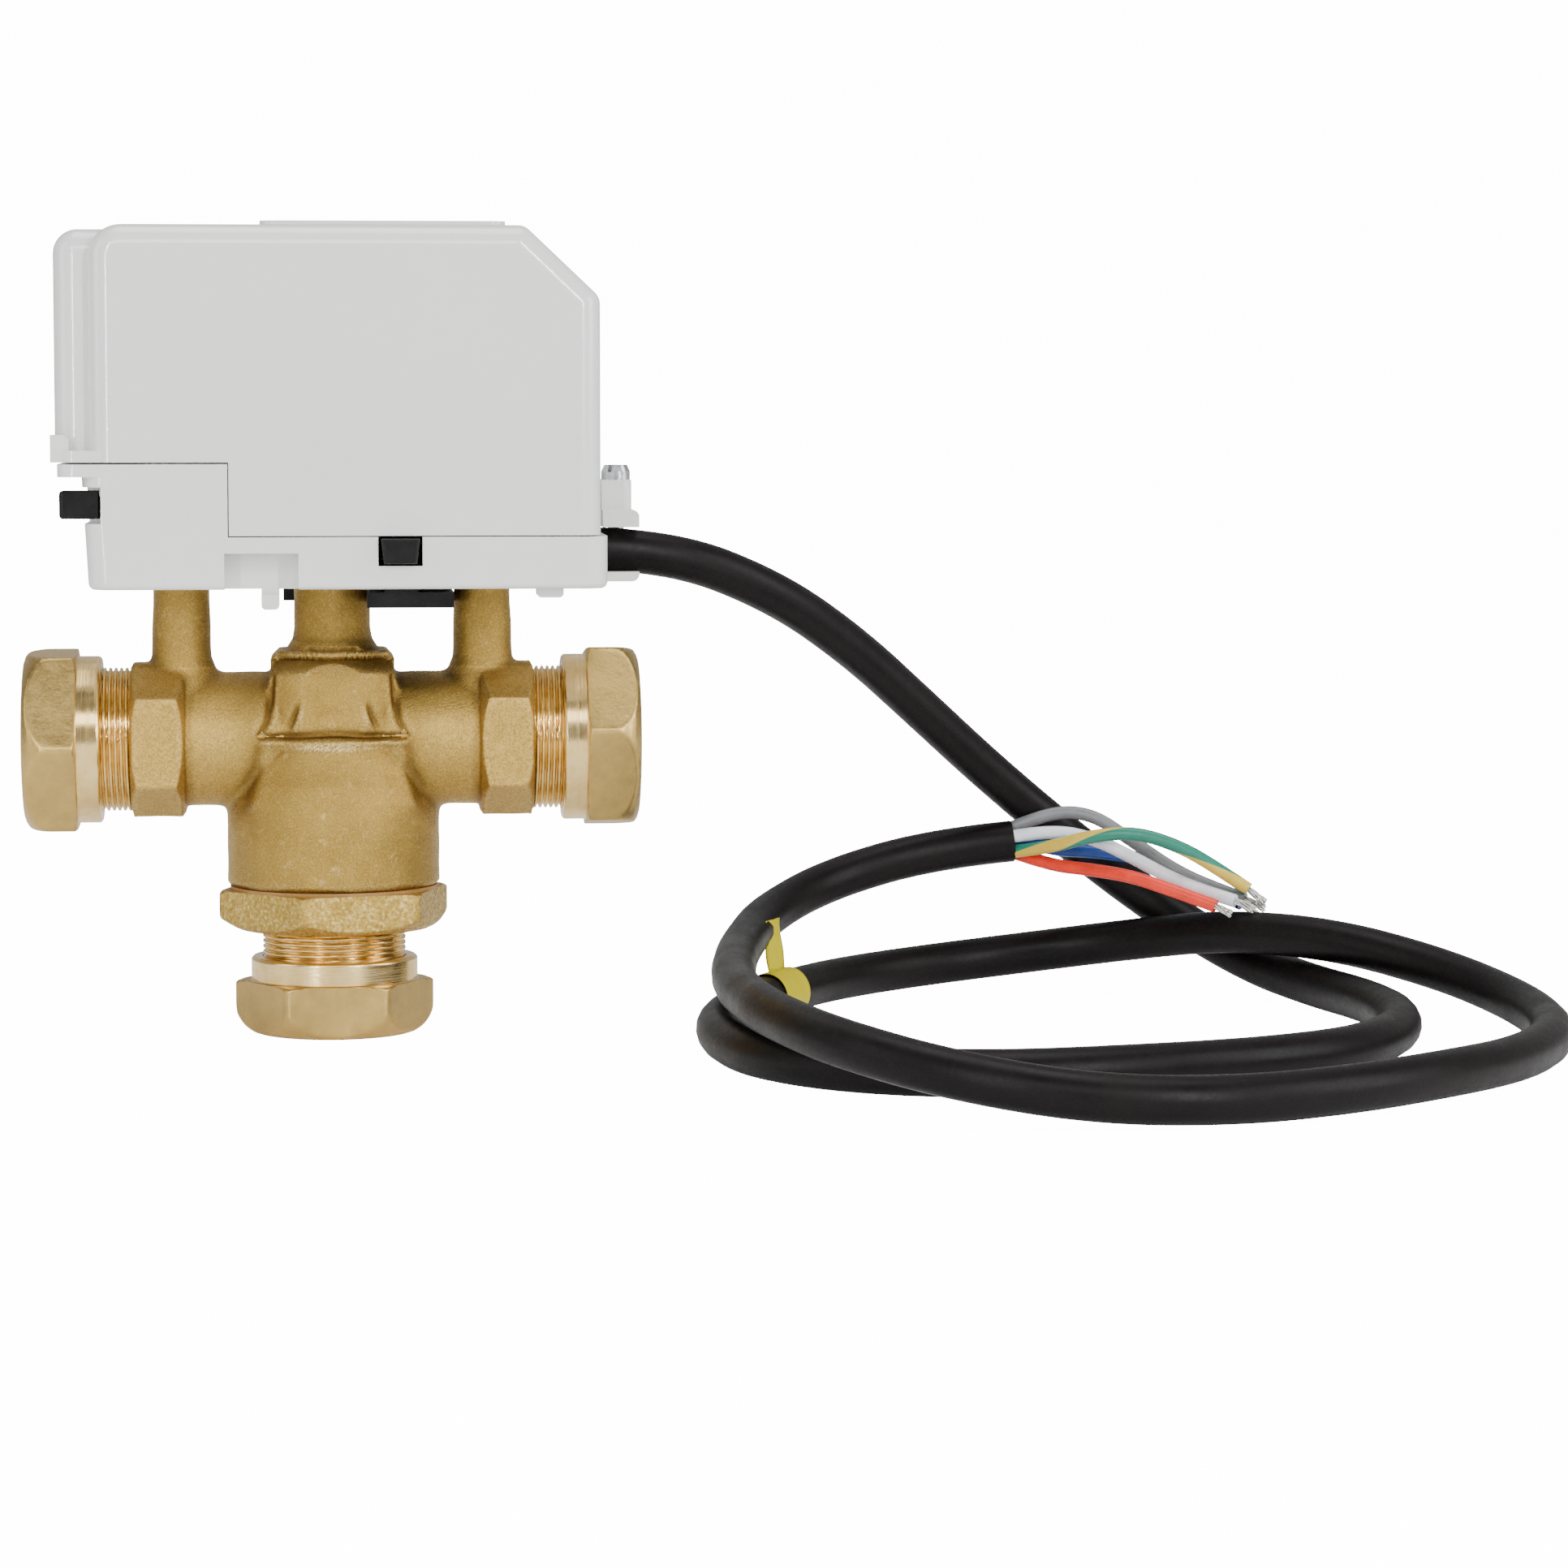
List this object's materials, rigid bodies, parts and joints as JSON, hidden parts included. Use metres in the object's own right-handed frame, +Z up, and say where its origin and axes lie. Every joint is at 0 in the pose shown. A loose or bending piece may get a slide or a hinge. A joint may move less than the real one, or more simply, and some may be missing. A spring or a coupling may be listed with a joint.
{
  "type": "motorised diverter valve",
  "caption": "Three-port brass diverter valve with compression ends, a light grey motorised actuator box on two posts, and a black multi-core lead lying in loose turns.",
  "frame": {"origin": "centre of the bottom port's nut end face, on the stem axis", "axes": "+Z up along the stem, +X towards port B and the cable clamp, -Y the actuator's front with the release button"},
  "size_m": [0.2791, 0.2005, 0.1489],
  "materials": {
    "cast_brass": "blasted casting",
    "turned_brass": "turned, satin",
    "seal_rubber": "moulded rubber",
    "white_plastic": "moulded",
    "stainless": "turned",
    "zinc_steel": "bright zinc plate",
    "grey_plastic": "fine texture",
    "motor_metal": "satin",
    "black_plastic": "moulded",
    "red_plastic": "moulded",
    "board_green": "board",
    "cable_black": "soft PVC",
    "core_grey": "PVC",
    "core_white": "PVC",
    "core_green": "PVC, yellow stripe",
    "core_blue": "PVC",
    "core_red": "PVC",
    "tinned_copper": "tinned strands",
    "marker_yellow": "film"
  },
  "bodies": {
    "valve": {"valve_body": "cast_brass", "port_insert": "turned_brass", "insert_seal": "seal_rubber", "stem_bush": "white_plastic", "actuator_base": "grey_plastic", "actuator_cover": "grey_plastic", "mounting_screws": "zinc_steel", "motor_plate": "zinc_steel", "plate_pillars": "zinc_steel", "pillar_screws": "zinc_steel", "earth_screw": "zinc_steel", "motor_gearbox": "motor_metal", "motor_can": "motor_metal", "motor_lugs": "motor_metal", "motor_screws": "zinc_steel", "return_spring": "zinc_steel", "lever_pivot": "zinc_steel", "microswitches": "black_plastic", "switch_screws": "zinc_steel", "circuit_board": "board_green", "terminal_block": "black_plastic", "cable_clamp": "grey_plastic", "clamp_screw": "zinc_steel", "cable": "cable_black", "wire_grey": "core_grey", "wire_white": "core_white", "wire_green_yellow": "core_green", "wire_blue": "core_blue", "wire_red": "core_red", "bare_core_ends": "tinned_copper", "cable_marker": "marker_yellow"},
    "drive": {"valve_spindle": "stainless", "stem_o_rings": "seal_rubber", "crank_arm": "turned_brass", "closing_ball": "seal_rubber", "drive_hub": "white_plastic", "sector_gear": "turned_brass", "retaining_clip": "zinc_steel"},
    "pinion": {"motor_pinion": "stainless"},
    "lever": {"manual_lever": "black_plastic"},
    "latch": {"release_latch": "black_plastic"},
    "plunger_1": {"switch_plunger_1": "red_plastic"},
    "plunger_2": {"switch_plunger_2": "red_plastic"},
    "olive_a": {"olive_a": "turned_brass"},
    "olive_b": {"olive_b": "turned_brass"},
    "olive_ab": {"olive_ab": "turned_brass"},
    "nut_a": {"compression_nut_a": "turned_brass"},
    "nut_b": {"compression_nut_b": "turned_brass"},
    "nut_ab": {"compression_nut_ab": "turned_brass"}
  },
  "joints": [
    {"name": "spindle_turn", "type": "hinge", "parent": "valve", "child": "drive", "pos_m": [0, 0, 0], "axis": [0, 0, 1], "range_deg": [0, 90], "stiffness_Nm_per_rad": 0.01, "springref_deg": -11.46},
    {"name": "pinion_spin", "type": "hinge", "parent": "valve", "child": "pinion", "pos_m": [0.0268, 0, 0], "axis": [0, 0, 1], "range_deg": [-415, 3]},
    {"name": "lever_swing", "type": "hinge", "parent": "valve", "child": "lever", "pos_m": [-0.022, -0.019, 0], "axis": [0, 0, 1], "range_deg": [-30, 0]},
    {"name": "latch_press", "type": "slide", "parent": "valve", "child": "latch", "axis": [0, 1, 0], "range_m": [0, 0.003], "stiffness_N_per_m": 300, "springref_m": -0.002},
    {"name": "plunger_1_press", "type": "slide", "parent": "valve", "child": "plunger_1", "axis": [-1, 0, 0], "range_m": [0, 0.0007], "stiffness_N_per_m": 150, "springref_m": -0.001},
    {"name": "plunger_2_press", "type": "slide", "parent": "valve", "child": "plunger_2", "axis": [-1, 0, 0], "range_m": [0, 0.0007], "stiffness_N_per_m": 150, "springref_m": -0.001},
    {"name": "olive_a_slide", "type": "slide", "parent": "valve", "child": "olive_a", "axis": [-1, 0, 0], "range_m": [0, 0.00301]},
    {"name": "nut_a_turn", "type": "hinge", "parent": "olive_a", "child": "nut_a", "pos_m": [-0.0564, 0, 0.0545], "axis": [-1, 0, 0], "range_deg": [0, 1080]},
    {"name": "olive_b_slide", "type": "slide", "parent": "valve", "child": "olive_b", "axis": [1, 0, 0], "range_m": [0, 0.00301]},
    {"name": "nut_b_turn", "type": "hinge", "parent": "olive_b", "child": "nut_b", "pos_m": [0.0564, 0, 0.0545], "axis": [1, 0, 0], "range_deg": [0, 1080]},
    {"name": "olive_ab_slide", "type": "slide", "parent": "valve", "child": "olive_ab", "axis": [0, 0, -1], "range_m": [0, 0.00301]},
    {"name": "nut_ab_turn", "type": "hinge", "parent": "olive_ab", "child": "nut_ab", "pos_m": [0, 0, 0], "axis": [0, 0, -1], "range_deg": [0, 1080]}
  ],
  "couplings": [
    {"joint": "pinion_spin", "follows": "spindle_turn", "ratio": -4.5833},
    {"joint": "olive_a_slide", "follows": "nut_a_turn", "m_per_rad": 0.00015915},
    {"joint": "olive_b_slide", "follows": "nut_b_turn", "m_per_rad": 0.00015915},
    {"joint": "olive_ab_slide", "follows": "nut_ab_turn", "m_per_rad": 0.00015915}
  ]
}
